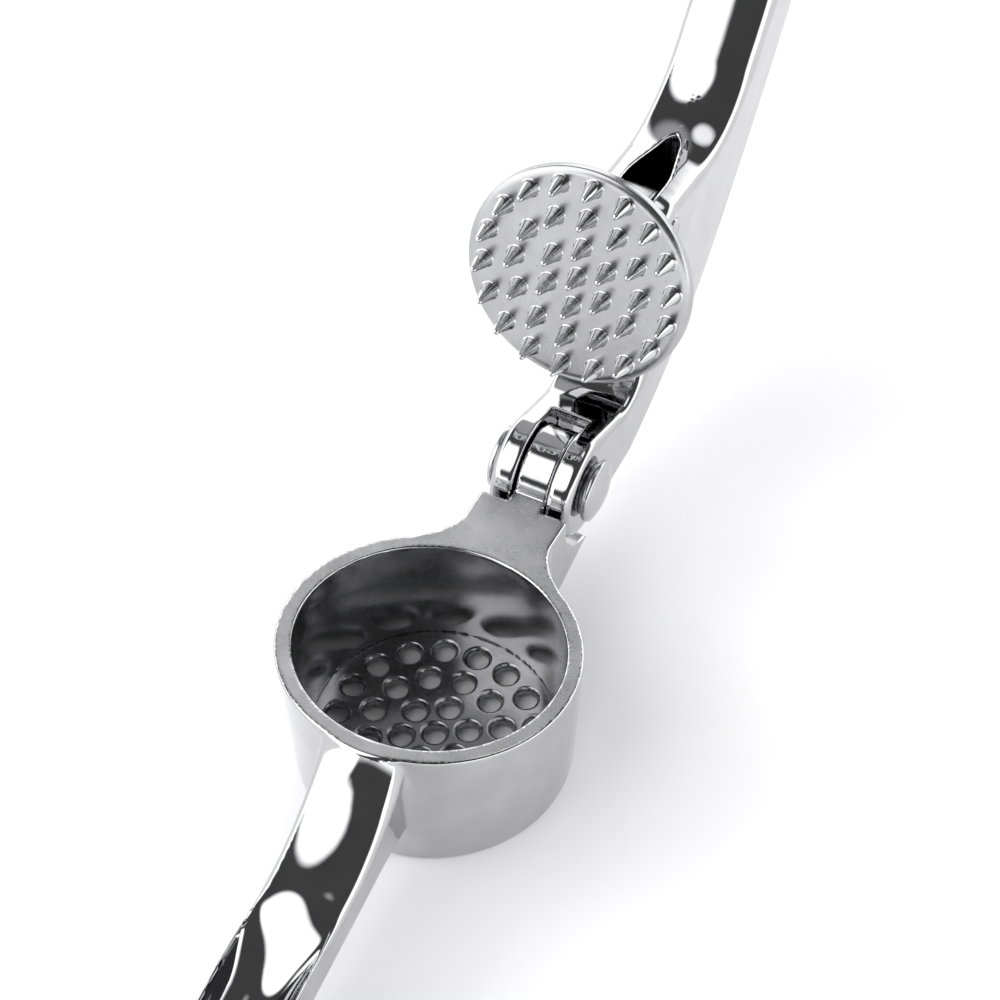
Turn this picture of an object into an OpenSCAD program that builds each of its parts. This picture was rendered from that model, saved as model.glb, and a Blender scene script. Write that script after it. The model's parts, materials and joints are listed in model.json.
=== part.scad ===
// Garlic press: cast cup and lower handle, forked upper handle, hinged plunger with studs.
// Origin at the centre of the cup's flat base, +Z up, +Y from the cup to the hinge.

/* [Cup] */
// Outer radius of the cup at its base
base_radius = 16.6; // [12:0.1:22]
// Outer radius of the cup at the middle of its rim
rim_radius = 18.1; // [14:0.1:24]
// Height of the rim above the base, at the middle of the mouth
cup_height = 20.7; // [12:0.1:30]
// Slope of the rim, down towards the hinge
rim_tilt = 9; // [0:0.5:15]
// Lean of the cup's walls, away from the hinge
cup_lean = 1.7; // [0:0.1:4]
// Bore radius at the sieve
bore_radius = 14.8; // [10:0.1:18]
// Bore radius at the mouth
mouth_radius = 16; // [10:0.1:20]
// Radius where the mouth's bevel meets the rim
bevel_radius = 16.3; // [11:0.05:21]
// Depth of the mouth's bevel
bevel_depth = 0.4; // [0.2:0.1:3]
// Radius of the opening under the sieve
outlet_radius = 13.7; // [10:0.1:17]

/* [Sieve] */
// Height of the sieve's upper face above the base
sieve_top = 2; // [1:0.1:4]
// Radius of the sieve plate, seated in the wall
sieve_radius = 15; // [10:0.1:18]
// Thickness of the sieve plate
sieve_thickness = 1.2; // [0.5:0.1:2]
// Radius of each hole
hole_radius = 1.35; // [0.8:0.05:2]
// Radius of each hole's countersink
sink_radius = 1.7; // [0.8:0.05:2.5]
// Depth of each hole's countersink
sink_depth = 0.35; // [0.1:0.05:1]
// Distance between the rings of holes, and of studs
ring_pitch = 4; // [3:0.1:6]

/* [Web and tongue] */
// Half width of the web between cup and hinge
web_half_width = 5.7; // [4:0.1:8]
// Where the web's upper face ends
web_end = 24.4; // [20:0.1:30]
// Radius of the hollow at each corner between web and cup
web_corner_radius = 5; // [2:0.5:10]
// Width of the hinge tongue
tongue_width = 4.2; // [3:0.1:7]
// Radius of the tongue's round end
tongue_radius = 5.8; // [4:0.1:8]
// Radius of the web's hollow around the ears
scallop_radius = 7.3; // [6:0.1:9]

/* [Hinge] */
// Distance of the hinge pin from the cup's axis
hinge_y = 32.2; // [28:0.1:40]
// Height of the hinge pin
hinge_z = 14.6; // [8:0.1:20]
// Radius of the hinge pin's shank
hinge_pin_radius = 2; // [1:0.1:3]
// Running clearance of the tongue on the pin
running_gap = 0.06; // [0.01:0.01:0.1]
// Radius of each ear
ear_radius = 6.5; // [5:0.1:8]
// Gap between tongue and ear
side_gap = 0.25; // [0.1:0.05:0.5]
// Radius of the pin's heads
head_radius = 3.9; // [3:0.1:6]
// Thickness of the pin's heads
head_thickness = 1.6; // [0.8:0.1:3]
// Radius of the collars under the heads
washer_radius = 3.3; // [2.5:0.1:5]
// Thickness of the collars
washer_thickness = 0.5; // [0.3:0.1:1]

/* [Grips] */
// Width of both handles
grip_width = 10.5; // [8:0.5:16]
// Height of the lower handle's section
lower_grip_height = 6.9; // [4:0.1:12]
// Height of the upper handle's section next to the plunger
upper_grip_height = 10; // [4:0.1:14]
// Height of the upper handle's section at its tip
upper_tip_height = 6.6; // [4:0.1:12]
// Radius of the trough along each handle
trough_radius = 5; // [3:0.1:6]
// Depth of the trough along each handle
trough_depth = 4.1; // [1:0.1:5]
// Where the lower handle ends
lower_tip_y = -124; // [-160:1:-90]
// Length of the upper handle's long bow
upper_bow_length = 124; // [80:1:150]

/* [Plunger] */
// Distance from the plunger's pin to its face
stem_length = 17; // [10:0.5:24]
// Radius of the plunger's disc
disc_radius = 14.1; // [10:0.1:16]
// Thickness of the plunger's disc
disc_thickness = 1.5; // [1:0.1:3]
// Width of the disc's soft front edge
disc_edge_width = 1.1; // [0.2:0.1:2]
// Depth of the disc's soft front edge
disc_edge_depth = 0.45; // [0.1:0.05:1]
// Width of the plunger's stem
stem_width = 4.4; // [3:0.1:7]
// Radius of the stem's eye
eye_radius = 3.8; // [3:0.1:6]
// Radius of the plunger's pin
plunger_pin_radius = 1.5; // [1:0.1:2.5]
// How far each end of the plunger's pin stands out
pin_proud = 0.3; // [0:0.1:1]
// Height of each stud
stud_height = 3.3; // [1:0.1:4]
// Radius of each stud at its foot
stud_foot_radius = 1.1; // [0.5:0.05:1.3]
// Radius of each stud at its tip
stud_tip_radius = 0.42; // [0.2:0.01:1]
// Gap between face and sieve when closed
closed_gap = 1.3; // [0.1:0.1:2]
// Radius of the cheeks around the plunger's pin
cheek_radius = 4.6; // [3:0.1:7]
// Width of the slot between the cheeks
slot_width = 5; // [4:0.1:8]

/* [Pose] */
// How far the upper handle is swung open from closed
opening = 125.8; // [0:0.1:170]
// How far the plunger is swung with it
plunger_opening = 111.3; // [0:0.1:150]

/* [Hidden] */
$fn = 96;
// Facet count of very large circles, so that they stay smooth
big_fn = 1440;
// Overlap of solids that are one piece
bite = 0.5;
cup_slope = (rim_radius - base_radius) / cup_height;
bore_slope = (mouth_radius - bore_radius) / (cup_height - sieve_top);
bevel_width = bevel_radius - mouth_radius;
tall = cup_height + 6;
mouth_shift = cup_height * tan(cup_lean);
// How much wider the bowl at each end of a trough is than the trough
bowl_step = 0.05;
// The sieve's ledge
ledge_z = sieve_top - sieve_thickness;
// Half width of the fork's slot
fork_half = tongue_width / 2 + side_gap;
// Hub behind the disc
hub_foot_radius = 7;
hub_height = 4;
// Dome of the pin's heads, and the spigot that holds the cap
dome_height = 0.9;
spigot_radius = 1.2;
spigot_length = 0.9;
// Rings of holes and studs: number in each ring, and the angle of its first one
ring_counts = [1, 6, 12, 18];
ring_angles = [0, 30, 0, 10];
// Plunger pin, closed, then swung to the pose of the model
pin_rise = sieve_top + closed_gap + stem_length - hinge_z;
pin_reach = sqrt(hinge_y * hinge_y + pin_rise * pin_rise);
pin_angle = atan2(pin_rise, -hinge_y) - opening;
pin_y = hinge_y + pin_reach * cos(pin_angle);
pin_z = hinge_z + pin_reach * sin(pin_angle);
// Underside of the web, where its upper face ends
web_underside_z = 5.6;
web_underside_slope = 10.5;
// Lower handle: a slight bow whose centre is high above
lower_bow_radius = 1025;
lower_start_y = -25;
lower_start_z = 8.9;
lower_start_angle = 7.9;
lower_centre_y = lower_start_y - lower_bow_radius * sin(lower_start_angle);
lower_centre_z = lower_start_z + lower_bow_radius * cos(lower_start_angle);
lower_trough_start = -33;
lower_trough_end = lower_tip_y + 9;
// Hollow between the lower handle's top and the cup
ramp_radius = 12;
ramp_y = -31;
ramp_z = lower_start_z + lower_grip_height + ramp_radius - 0.8;
// Upper handle: a short bend over the hinge, then a long bow
bend_radius = 60;
bend_start_angle = 14;
bend_end_angle = 43;
bend_start_y = hinge_y + 12;
bend_start_z = hinge_z - 7.4;
bend_centre_y = bend_start_y - bend_radius * sin(bend_start_angle);
bend_centre_z = bend_start_z + bend_radius * cos(bend_start_angle);
bow_radius = 320;
bow_start_y = bend_centre_y + bend_radius * sin(bend_end_angle);
bow_start_z = bend_centre_z - bend_radius * cos(bend_end_angle);
bow_centre_y = bow_start_y - bow_radius * sin(bend_end_angle);
bow_centre_z = bow_start_z + bow_radius * cos(bend_end_angle);
bow_sweep = upper_bow_length / bow_radius * 180 / PI;
bow_end_angle = bend_end_angle + bow_sweep;
// The inner line of the long bow runs closer to the outer line at the tip
inner_start_angle = 46.1;
inner_lean = (upper_grip_height - upper_tip_height) / sin(bow_end_angle - inner_start_angle);
inner_radius = bow_radius - upper_grip_height;
inner_centre_y = bow_centre_y + inner_lean * cos(inner_start_angle);
inner_centre_z = bow_centre_z + inner_lean * sin(inner_start_angle);
tip_y = bow_centre_y + bow_radius * sin(bow_end_angle);
tip_z = bow_centre_z - bow_radius * cos(bow_end_angle);
// Hollow of the inner line between the bow and the cheeks
saddle_radius = 14;
saddle_y = 68.5;
saddle_z = 52;
// Hollow of the inner line between the cheeks and the ears
throat_radius = 5;
throat_y = 44;
throat_z = 21.6;
// Pocket for the stem, and the wall left behind it
pocket_wall = 2.5;
pocket_start_y = 46;
pocket_end_y = 66.5;

// Extrudes an outline drawn in the (y, z) plane to a slab centred on the middle plane
module slab(width) {
  rotate([90, 0, 90]) {
    linear_extrude(height = width, center = true) {
      children();
    }
  }
}

// Cylinder along X, centred on the middle plane
module cross_cylinder(radius, length) {
  rotate([0, 90, 0]) {
    cylinder(h = length, r = radius, center = true);
  }
}

// Places children at each hole or stud of the pattern
module at_pattern() {
  for (ring = [0 : len(ring_counts) - 1]) {
    for (k = [0 : ring_counts[ring] - 1]) {
      rotate([0, 0, ring_angles[ring] + k * 360 / ring_counts[ring]]) {
        translate([ring * ring_pitch, 0, 0]) {
          children();
        }
      }
    }
  }
}

// Puts children in the rim's sloping plane, with their origin at the middle of the mouth
module at_rim() {
  translate([0, -mouth_shift, cup_height]) {
    rotate([-rim_tilt, 0, 0]) {
      children();
    }
  }
}

// Everything above the sloping rim
module above_rim() {
  at_rim() {
    translate([-60, -60, 0]) {
      cube([120, 120, 60]);
    }
  }
}

// Everything below the flat base
module below_base() {
  translate([-30, -30, -10]) {
    cube([60, 60, 10]);
  }
}

module cup_shell() {
  rotate([cup_lean, 0, 0]) {
    translate([0, 0, -1]) {
      cylinder(h = tall + 1, r1 = base_radius - cup_slope, r2 = base_radius + tall * cup_slope);
    }
  }
}

module cup_bore() {
  translate([0, 0, ledge_z]) {
    cylinder(h = sieve_thickness, r = sieve_radius);
  }
  translate([0, 0, sieve_top]) {
    rotate([cup_lean, 0, 0]) {
      translate([0, 0, -bite]) {
        cylinder(h = tall, r1 = bore_radius - bite * bore_slope, r2 = bore_radius + (tall - bite) * bore_slope);
      }
    }
  }
  translate([0, 0, -1]) {
    cylinder(h = tall, r = outlet_radius);
  }
  at_rim() {
    translate([0, 0, -2 * bevel_depth]) {
      cylinder(h = 4 * bevel_depth, r1 = bevel_radius - 2 * bevel_width, r2 = bevel_radius + 2 * bevel_width);
    }
  }
}

// Plan of the web: straight sides with hollow corners where they meet the cup
module web_plan() {
  corner_reach = rim_radius - 0.8 + web_corner_radius;
  corner_y = sqrt(pow(corner_reach, 2) - pow(web_half_width + web_corner_radius, 2));
  difference() {
    translate([-web_half_width - web_corner_radius, 0]) {
      square([2 * (web_half_width + web_corner_radius), hinge_y - 1.6]);
    }
    for (side = [-1, 1]) {
      translate([side * (web_half_width + web_corner_radius), corner_y]) {
        circle(r = web_corner_radius);
      }
      translate([side * (web_half_width + 10) - 10, corner_y]) {
        square([20, 30]);
      }
    }
  }
}

// Web between cup and hinge, deep enough to carry the tongue
module web() {
  difference() {
    translate([0, 0, 4]) {
      linear_extrude(height = tall) {
        web_plan();
      }
    }
    above_rim();
    // Sloping underside
    translate([-20, web_end, web_underside_z]) {
      rotate([web_underside_slope, 0, 0]) {
        translate([0, -40, -20]) {
          cube([40, 60, 20]);
        }
      }
    }
    // Hollow for the ears, one each side of the tongue
    for (side = [-1, 1]) {
      translate([side * (tongue_width / 2 + 5), hinge_y, hinge_z]) {
        cross_cylinder(scallop_radius, 10);
      }
    }
  }
}

module tongue() {
  slab(tongue_width) {
    translate([hinge_y, hinge_z]) {
      circle(r = tongue_radius);
    }
    polygon([[web_end - 3, 7], [hinge_y, hinge_z - tongue_radius], [hinge_y, hinge_z + 1.6], [web_end - 3, hinge_z + 2.2]]);
  }
}

// Side outline of the lower handle, from inside the cup's wall to the tip
module lower_outline() {
  intersection() {
    difference() {
      translate([lower_centre_y, lower_centre_z]) {
        circle(r = lower_bow_radius, $fn = big_fn);
      }
      translate([lower_centre_y, lower_centre_z]) {
        circle(r = lower_bow_radius - lower_grip_height, $fn = big_fn);
      }
    }
    translate([lower_tip_y, -10]) {
      square([-bore_radius - 1 - lower_tip_y, 60]);
    }
  }
  // Ramp up to the cup's wall
  difference() {
    translate([ramp_y, lower_start_z + 1]) {
      square([-bore_radius - 1.5 - ramp_y, cup_height - lower_start_z]);
    }
    translate([ramp_y, ramp_z]) {
      circle(r = ramp_radius);
    }
  }
}

// Plan that rounds a handle's tip
module tip_plan(tip_y, length) {
  translate([-grip_width / 2, tip_y + grip_width / 2]) {
    square([grip_width, length]);
  }
  translate([0, tip_y + grip_width / 2]) {
    circle(r = grip_width / 2);
  }
}

// Trough swept about an axis along X; angles count from straight down, towards +Y
module trough(centre_y, centre_z, line_radius, from_angle, to_angle) {
  sweep_radius = line_radius + trough_depth - trough_radius;
  translate([0, centre_y, centre_z]) {
    rotate([0, 90, 0]) {
      rotate([0, 0, from_angle]) {
        rotate_extrude(angle = to_angle - from_angle, $fn = big_fn) {
          translate([sweep_radius, 0]) {
            circle(r = trough_radius);
          }
        }
      }
    }
  }
  for (a = [from_angle, to_angle]) {
    translate([0, centre_y + sweep_radius * sin(a), centre_z - sweep_radius * cos(a)]) {
      sphere(r = trough_radius + bowl_step);
    }
  }
}

module lower_grip() {
  intersection() {
    slab(grip_width) {
      lower_outline();
    }
    translate([0, 0, -20]) {
      linear_extrude(height = 80) {
        tip_plan(lower_tip_y, -lower_tip_y);
      }
    }
  }
}

module lower_handle() {
  color([0.80, 0.80, 0.82]) {
    difference() {
      union() {
        difference() {
          union() {
            cup_shell();
            lower_grip();
          }
          above_rim();
          below_base();
        }
        web();
        tongue();
      }
      cup_bore();
      translate([0, hinge_y, hinge_z]) {
        cross_cylinder(hinge_pin_radius + running_gap, 20);
      }
      trough(lower_centre_y, lower_centre_z, lower_bow_radius - lower_grip_height,
        asin((lower_trough_end - lower_centre_y) / lower_bow_radius),
        asin((lower_trough_start - lower_centre_y) / lower_bow_radius));
    }
  }
}

module sieve_plate() {
  color([0.62, 0.62, 0.64]) {
    difference() {
      translate([0, 0, ledge_z]) {
        cylinder(h = sieve_thickness, r = sieve_radius);
      }
      at_pattern() {
        cylinder(h = 3 * sieve_top, r = hole_radius, center = true);
        translate([0, 0, sieve_top - sink_depth]) {
          cylinder(h = 2 * sink_depth, r1 = hole_radius, r2 = 2 * sink_radius - hole_radius);
        }
      }
    }
  }
}

// Points along an arc; angles count from straight down, towards +Y
function arc_points(centre_y, centre_z, radius, from_angle, to_angle, steps) = [
  for (i = [0 : steps])
    let (a = from_angle + (to_angle - from_angle) * i / steps)
    [centre_y + radius * sin(a), centre_z - radius * cos(a)]
];

// Side outline of the upper handle: back from ear to tip, then the inner line from tip to ear
module upper_outline() {
  polygon(concat(
    arc_points(hinge_y, hinge_z, ear_radius, -230, 4, 40),
    [[bend_start_y - 5, bend_start_z - 0.8]],
    arc_points(bend_centre_y, bend_centre_z, bend_radius, bend_start_angle, bend_end_angle, 12),
    arc_points(bow_centre_y, bow_centre_z, bow_radius, bend_end_angle + 1, bow_end_angle, 24),
    arc_points(inner_centre_y, inner_centre_z, inner_radius, bow_end_angle, inner_start_angle, 24),
    arc_points(saddle_y, saddle_z, saddle_radius, 30, -40, 14),
    arc_points(pin_y, pin_z, cheek_radius, 150, 278, 20),
    arc_points(throat_y, throat_z, throat_radius, 90, -25, 14)
  ));
}

module upper_pocket() {
  slab(slot_width) {
    intersection() {
      translate([bend_centre_y, bend_centre_z]) {
        circle(r = bend_radius - pocket_wall, $fn = 360);
      }
      translate([pocket_start_y, hinge_z - 5]) {
        square([pocket_end_y - pocket_start_y, 60]);
      }
    }
  }
}

// Slot between the ears
module fork_slot() {
  translate([0, hinge_y, hinge_z]) {
    cross_cylinder(ear_radius + 0.5, 2 * fork_half);
  }
}

// Everything past the round end of a handle, in a frame whose +Y points out of the tip
module past_tip() {
  difference() {
    translate([-20, -grip_width / 2, -20]) {
      cube([40, grip_width / 2 + 20, 40]);
    }
    translate([0, -grip_width / 2, -30]) {
      cylinder(h = 60, r = grip_width / 2);
    }
  }
}

module upper_handle() {
  color([0.80, 0.80, 0.82]) {
    difference() {
      slab(grip_width) {
        upper_outline();
      }
      upper_pocket();
      fork_slot();
      translate([0, hinge_y, hinge_z]) {
        cross_cylinder(hinge_pin_radius, 2 * grip_width);
      }
      translate([0, pin_y, pin_z]) {
        cross_cylinder(plunger_pin_radius, 2 * grip_width);
      }
      trough(inner_centre_y, inner_centre_z, inner_radius, inner_start_angle + 0.4, bow_end_angle - 2.2);
      translate([0, tip_y, tip_z]) {
        rotate([bow_end_angle, 0, 0]) {
          past_tip();
        }
      }
    }
  }
}

// Plunger as it stands when closed, with its pin at the origin
module plunger_solid() {
  difference() {
    union() {
      translate([0, 0, -stem_length]) {
        cylinder(h = disc_edge_depth, r1 = disc_radius - disc_edge_width, r2 = disc_radius);
        translate([0, 0, disc_edge_depth]) {
          cylinder(h = disc_thickness - disc_edge_depth, r = disc_radius);
        }
        translate([0, 0, disc_thickness - bite]) {
          cylinder(h = hub_height + bite, r1 = hub_foot_radius, r2 = eye_radius);
        }
      }
      slab(stem_width) {
        circle(r = eye_radius);
        translate([-eye_radius, disc_thickness - stem_length]) {
          square([2 * eye_radius, stem_length - disc_thickness]);
        }
      }
      translate([0, 0, -stem_length]) {
        at_pattern() {
          mirror([0, 0, 1]) {
            stud();
          }
        }
      }
    }
    cross_cylinder(plunger_pin_radius + running_gap, 2 * stem_width);
  }
}

// One stud, standing up from its foot, with a round tip
module stud() {
  translate([0, 0, -bite]) {
    cylinder(h = bite, r = stud_foot_radius, $fn = 32);
  }
  cylinder(h = stud_height - stud_tip_radius, r1 = stud_foot_radius, r2 = stud_tip_radius, $fn = 32);
  translate([0, 0, stud_height - stud_tip_radius]) {
    sphere(r = stud_tip_radius, $fn = 32);
  }
}

module plunger() {
  color([0.72, 0.72, 0.74]) {
    translate([0, pin_y, pin_z]) {
      rotate([-plunger_opening, 0, 0]) {
        plunger_solid();
      }
    }
  }
}

module plunger_pin() {
  color([0.66, 0.66, 0.68]) {
    translate([0, pin_y, pin_z]) {
      cross_cylinder(plunger_pin_radius, grip_width + 2 * pin_proud);
    }
  }
}

// Wide domed head with its flat side at the origin, rising along +X
module pin_head() {
  dome_radius = (head_radius * head_radius + dome_height * dome_height) / (2 * dome_height);
  rotate([0, 90, 0]) {
    cylinder(h = head_thickness - dome_height, r = head_radius);
    intersection() {
      translate([0, 0, head_thickness - dome_radius]) {
        sphere(r = dome_radius);
      }
      cylinder(h = head_thickness, r = head_radius);
    }
  }
}

// Places children at the outer face of a collar; side is -1 for the left head and 1 for the right
module at_head(side) {
  translate([side * (grip_width / 2 + washer_thickness), hinge_y, hinge_z]) {
    mirror([side < 0 ? 1 : 0, 0, 0]) {
      children();
    }
  }
}

module hinge_pin() {
  color([0.74, 0.74, 0.76]) {
    shank_length = grip_width + 2 * washer_thickness;
    translate([0, hinge_y, hinge_z]) {
      cross_cylinder(hinge_pin_radius, shank_length);
      translate([shank_length / 2, 0, 0]) {
        cross_cylinder(spigot_radius, 2 * spigot_length);
      }
    }
    at_head(-1) {
      pin_head();
    }
  }
}

module hinge_pin_cap() {
  color([0.76, 0.76, 0.78]) {
    difference() {
      at_head(1) {
        pin_head();
      }
      translate([grip_width / 2 + washer_thickness, hinge_y, hinge_z]) {
        cross_cylinder(spigot_radius, 2 * spigot_length);
      }
    }
  }
}

module hinge_washer(side) {
  color([0.45, 0.45, 0.47]) {
    translate([side * (grip_width + washer_thickness) / 2, hinge_y, hinge_z]) {
      difference() {
        cross_cylinder(washer_radius, washer_thickness);
        cross_cylinder(hinge_pin_radius, 2 * washer_thickness);
      }
    }
  }
}

module hinge_washer_left() {
  hinge_washer(-1);
}

module hinge_washer_right() {
  hinge_washer(1);
}

lower_handle();
sieve_plate();
upper_handle();
plunger();
plunger_pin();
hinge_pin();
hinge_pin_cap();
hinge_washer_left();
hinge_washer_right();
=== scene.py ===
import json
import math
import bmesh
import bpy
import numpy as np
from mathutils import Matrix, Vector


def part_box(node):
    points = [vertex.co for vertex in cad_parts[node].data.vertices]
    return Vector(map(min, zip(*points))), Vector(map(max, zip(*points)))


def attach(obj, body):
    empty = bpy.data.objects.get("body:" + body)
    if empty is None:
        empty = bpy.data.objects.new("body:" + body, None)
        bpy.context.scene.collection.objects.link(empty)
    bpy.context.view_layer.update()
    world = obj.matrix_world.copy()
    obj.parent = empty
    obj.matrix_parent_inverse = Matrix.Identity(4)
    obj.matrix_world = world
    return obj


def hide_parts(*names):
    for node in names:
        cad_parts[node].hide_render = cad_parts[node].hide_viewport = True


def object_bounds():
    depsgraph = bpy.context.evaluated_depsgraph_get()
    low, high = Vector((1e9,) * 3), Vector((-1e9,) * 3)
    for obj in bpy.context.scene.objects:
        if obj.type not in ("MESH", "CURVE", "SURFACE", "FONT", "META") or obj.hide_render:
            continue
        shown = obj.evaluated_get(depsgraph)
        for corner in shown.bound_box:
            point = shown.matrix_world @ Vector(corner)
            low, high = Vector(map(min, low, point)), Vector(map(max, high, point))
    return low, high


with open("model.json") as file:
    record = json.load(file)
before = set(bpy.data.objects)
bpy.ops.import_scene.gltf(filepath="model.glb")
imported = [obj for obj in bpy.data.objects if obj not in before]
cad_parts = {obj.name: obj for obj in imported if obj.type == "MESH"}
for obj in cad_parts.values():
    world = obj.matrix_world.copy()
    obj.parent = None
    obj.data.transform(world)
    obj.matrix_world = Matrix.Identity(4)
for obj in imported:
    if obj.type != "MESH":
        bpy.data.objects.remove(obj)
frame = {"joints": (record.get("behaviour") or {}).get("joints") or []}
cad_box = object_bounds()

# Lengths below are in millimetres, in the frame's axes. Meshes are scaled to metres when they are made.
MM = 0.001
JOINTS = {joint["name"]: [c / MM for c in joint["pos_m"]] for joint in frame["joints"]}
HINGE_Y, HINGE_Z = JOINTS["handle_hinge"][1:]
PIN_Y, PIN_Z = JOINTS["plunger_swing"][1:]


def box_mm(node):
    """Lowest and highest corner of a CAD node's box."""
    low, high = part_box(node)
    return [c / MM for c in low], [c / MM for c in high]


# Sizes that the two castings share
GRIP_HALF = box_mm("upper_handle")[1][0]
GRIP_EDGE, TROUGH_EDGE = 1.0, 0.45
TROUGH_RADIUS, TROUGH_DEPTH = 5.0, 4.1
# Where a handle has no trough, its top falls by this times the square of the distance from its middle
CROWN = 0.05
TONGUE_HALF = 2.1
# Edges of the tongue, of the scallops beside it and of the fork that straddles it
TONGUE_EDGE = 0.3
RIVET_RADIUS, HINGE_HOLE = 2.0, 2.06
LOWER_HOLE_EDGE, UPPER_HOLE_EDGE = 0.2, 0.15
# Cup
BASE_RADIUS, RIM_RADIUS, CUP_HEIGHT = 16.6, 18.1, 20.7
CUP_LEAN, RIM_TILT = math.radians(1.7), math.radians(9)
CUP_SLOPE = (RIM_RADIUS - BASE_RADIUS) / CUP_HEIGHT
MOUTH_SHIFT = CUP_HEIGHT * math.tan(CUP_LEAN)
BASE_EDGE, RIM_EDGE, MOUTH_EDGE = 0.5, 0.45, 0.35
BORE_RADIUS, MOUTH_RADIUS, OUTLET_RADIUS = 14.8, 16.0, 13.7
SIEVE_LOW, SIEVE_TOP = box_mm("sieve_plate")[0][2], box_mm("sieve_plate")[1][2]
SIEVE_RADIUS = box_mm("sieve_plate")[1][0]
BORE_SLOPE = (MOUTH_RADIUS - BORE_RADIUS) / (CUP_HEIGHT - SIEVE_TOP)
BORE_OVERLAP = 0.5
# Holes and studs: number in each ring, angle of its first one, distance between rings
RING_COUNTS, RING_ANGLES, RING_PITCH = (1, 6, 12, 18), (0, 30, 0, 10), 4.0
HOLE_RADIUS, COUNTERSINK, HOLE_EDGE, SIEVE_EDGE = 1.35, 0.35, 0.08, 0.1
# Turns the height above a cone of 45 degrees into the distance from it
COUNTERSINK_FACTOR = 0.707
# Web from the cup's wall to the hinge, and the tongue between the fork's ears
WEB_HALF, WEB_CORNER, WEB_EDGE = 5.7, 4.5, 0.6
WEB_END, WEB_UNDERSIDE, WEB_UNDERSIDE_TILT = 24.4, 5.6, math.radians(10.5)
WEB_Y = (5.0, HINGE_Y - 1.6)
TONGUE_RADIUS, TONGUE_FILLET, SCALLOP_RADIUS = 5.8, 0.5, 7.3
TONGUE_SLOPE, TONGUE_START, TONGUE_TOP = 0.17, WEB_END - 3, HINGE_Z + 1.9
# Lower grip: bow of its underside with a point (y, z) on it and the slope there, and its height
LOWER_BOW, LOWER_HEIGHT = 1025.0, 6.9
LOWER_START = (-25.0, 8.9, math.radians(7.9))
LOWER_TIP_Y = box_mm("lower_handle")[0][1]
# The trough deepens between these distances from the cup's axis, and ends between these from the tip
LOWER_GROWTH, LOWER_GROWTH_TIP = (33.5, 46.0), (3.0, 12.0)
# Ramp from the grip up to the rim
RAMP_RADIUS, RAMP_START, RAMP_LOW = 19.0, math.radians(7.5), LOWER_START[1] + 1
GRIP_END_Y, RAMP_END_Y = -BORE_RADIUS - 1, -BORE_RADIUS - 1.5
# Fillet between cup and grip: its radius below and above, and the heights between which it changes
FILLET_LOW, FILLET_TOP, FILLET_Z = 1.6, 0.4, (17, 21)
# Upper handle: ears on the hinge and the fork between them
EAR_RADIUS, EAR_END, FORK_HALF = 6.5, math.radians(4), 2.35
FORK_RADIUS = EAR_RADIUS + 1.0
# Its back: where the bend starts, which runs on into the bow, and the bow's length up to the tip
BEND_ORIGIN = (HINGE_Y + 12, HINGE_Z - 7.4)
BEND_RADIUS, BOW_RADIUS = 60.0, 320.0
BEND_START, BEND_END = math.radians(14), math.radians(43)
BOW_LENGTH, UPPER_HEIGHT, TIP_HEIGHT = 124.0, 10.0, 6.6
# Its inner side, with the angles between which its trough deepens
INNER_START = math.radians(46.1)
UPPER_GROWTH = (INNER_START + math.radians(2.6), INNER_START + math.radians(5.0))
SADDLE = (68.5, 52.0)
THROAT, THROAT_RADIUS = (44.0, 21.6), 5.0
CHEEK_RADIUS = 4.6
# The crown fades in with the height above the back and with the distance from the hinge
CROWN_HEIGHTS, CROWN_DISTANCES = (2.5, 6.0), (12, 20)
# Rounding of the upper tip's edges, which grows over its last millimetres
TIP_EDGES, TIP_EDGE_SPAN = (0.2, 0.9), (-7, -1)
# Stands for the trough's surface where there is no trough, so that nothing is cut there
FAR_INSIDE = -99
# Pocket for the plunger's stem, narrower from POCKET_TAPER_Y on
POCKET_HALF, POCKET_TOP_HALF, POCKET_WALL, POCKET_Y = 2.5, 0.9, 2.5, (46.0, 68.5)
POCKET_TAPER_Y, POCKET_CORNER, POCKET_END_CORNER, POCKET_EDGE = 59, 1.0, 2.0, 0.4
# Plunger, as it stands when closed, with its pin at the origin
PLUNGER_SWING = math.radians(111.3)
STEM_LENGTH, STEM_HALF, STEM_EDGE, STEM_OVERLAP = 17.0, 2.2, 0.4, 0.3
EYE_RADIUS, EYE_CLEARANCE, EYE_EDGE, PLUNGER_PIN = 3.8, 0.06, 0.2, 1.5
DISC_RADIUS, DISC_THICKNESS, DISC_EDGE, DISC_EDGE_DEPTH = 14.1, 1.5, 1.1, 0.45
DISC_BACK_EDGE, DISC_FACE_RING = 0.25, 0.15
HUB_RADIUS, HUB_HEIGHT, HUB_FILLET = 7.0, 4.0, 1.2
# Turns the radial distance from the hub's cone into the distance from it
HUB_FACTOR = 0.78
STUD_HEIGHT, STUD_FOOT, STUD_TIP = 3.3, 1.1, 0.42
STUD_BURIED, STUD_FILLET, FILLET_START = 0.4, 0.16, 0.3
# Rivet's heads, collars and the plunger's axle
HEAD_RADIUS, HEAD_THICKNESS, DOME_HEIGHT = 3.9, 1.6, 0.9
HEAD_EDGE, DOME_INSET = 0.15, 0.25
# (radius, height) of the shoulder's points, counted from the side's upper end
HEAD_SHOULDER = ((0, -0.1), (-0.07, 0.03))
WASHER_RADIUS, WASHER_THICKNESS = 3.3, 0.5
ROD_CHAMFER, AXLE_CHAMFER, AXLE_PROUD = 0.1, 0.2, 0.3
# Grid steps of the skinned pieces; the castings' are as fine as the limit on triangles allows
LOWER_STEP, UPPER_STEP, SIEVE_STEP, STEM_STEP = 0.36, 0.33, 0.22, 0.25
# Sides of the lathed pieces
DISC_SEGMENTS, STUD_SEGMENTS, HEAD_SEGMENTS, ROD_SEGMENTS = 192, 32, 96, 64


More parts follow.
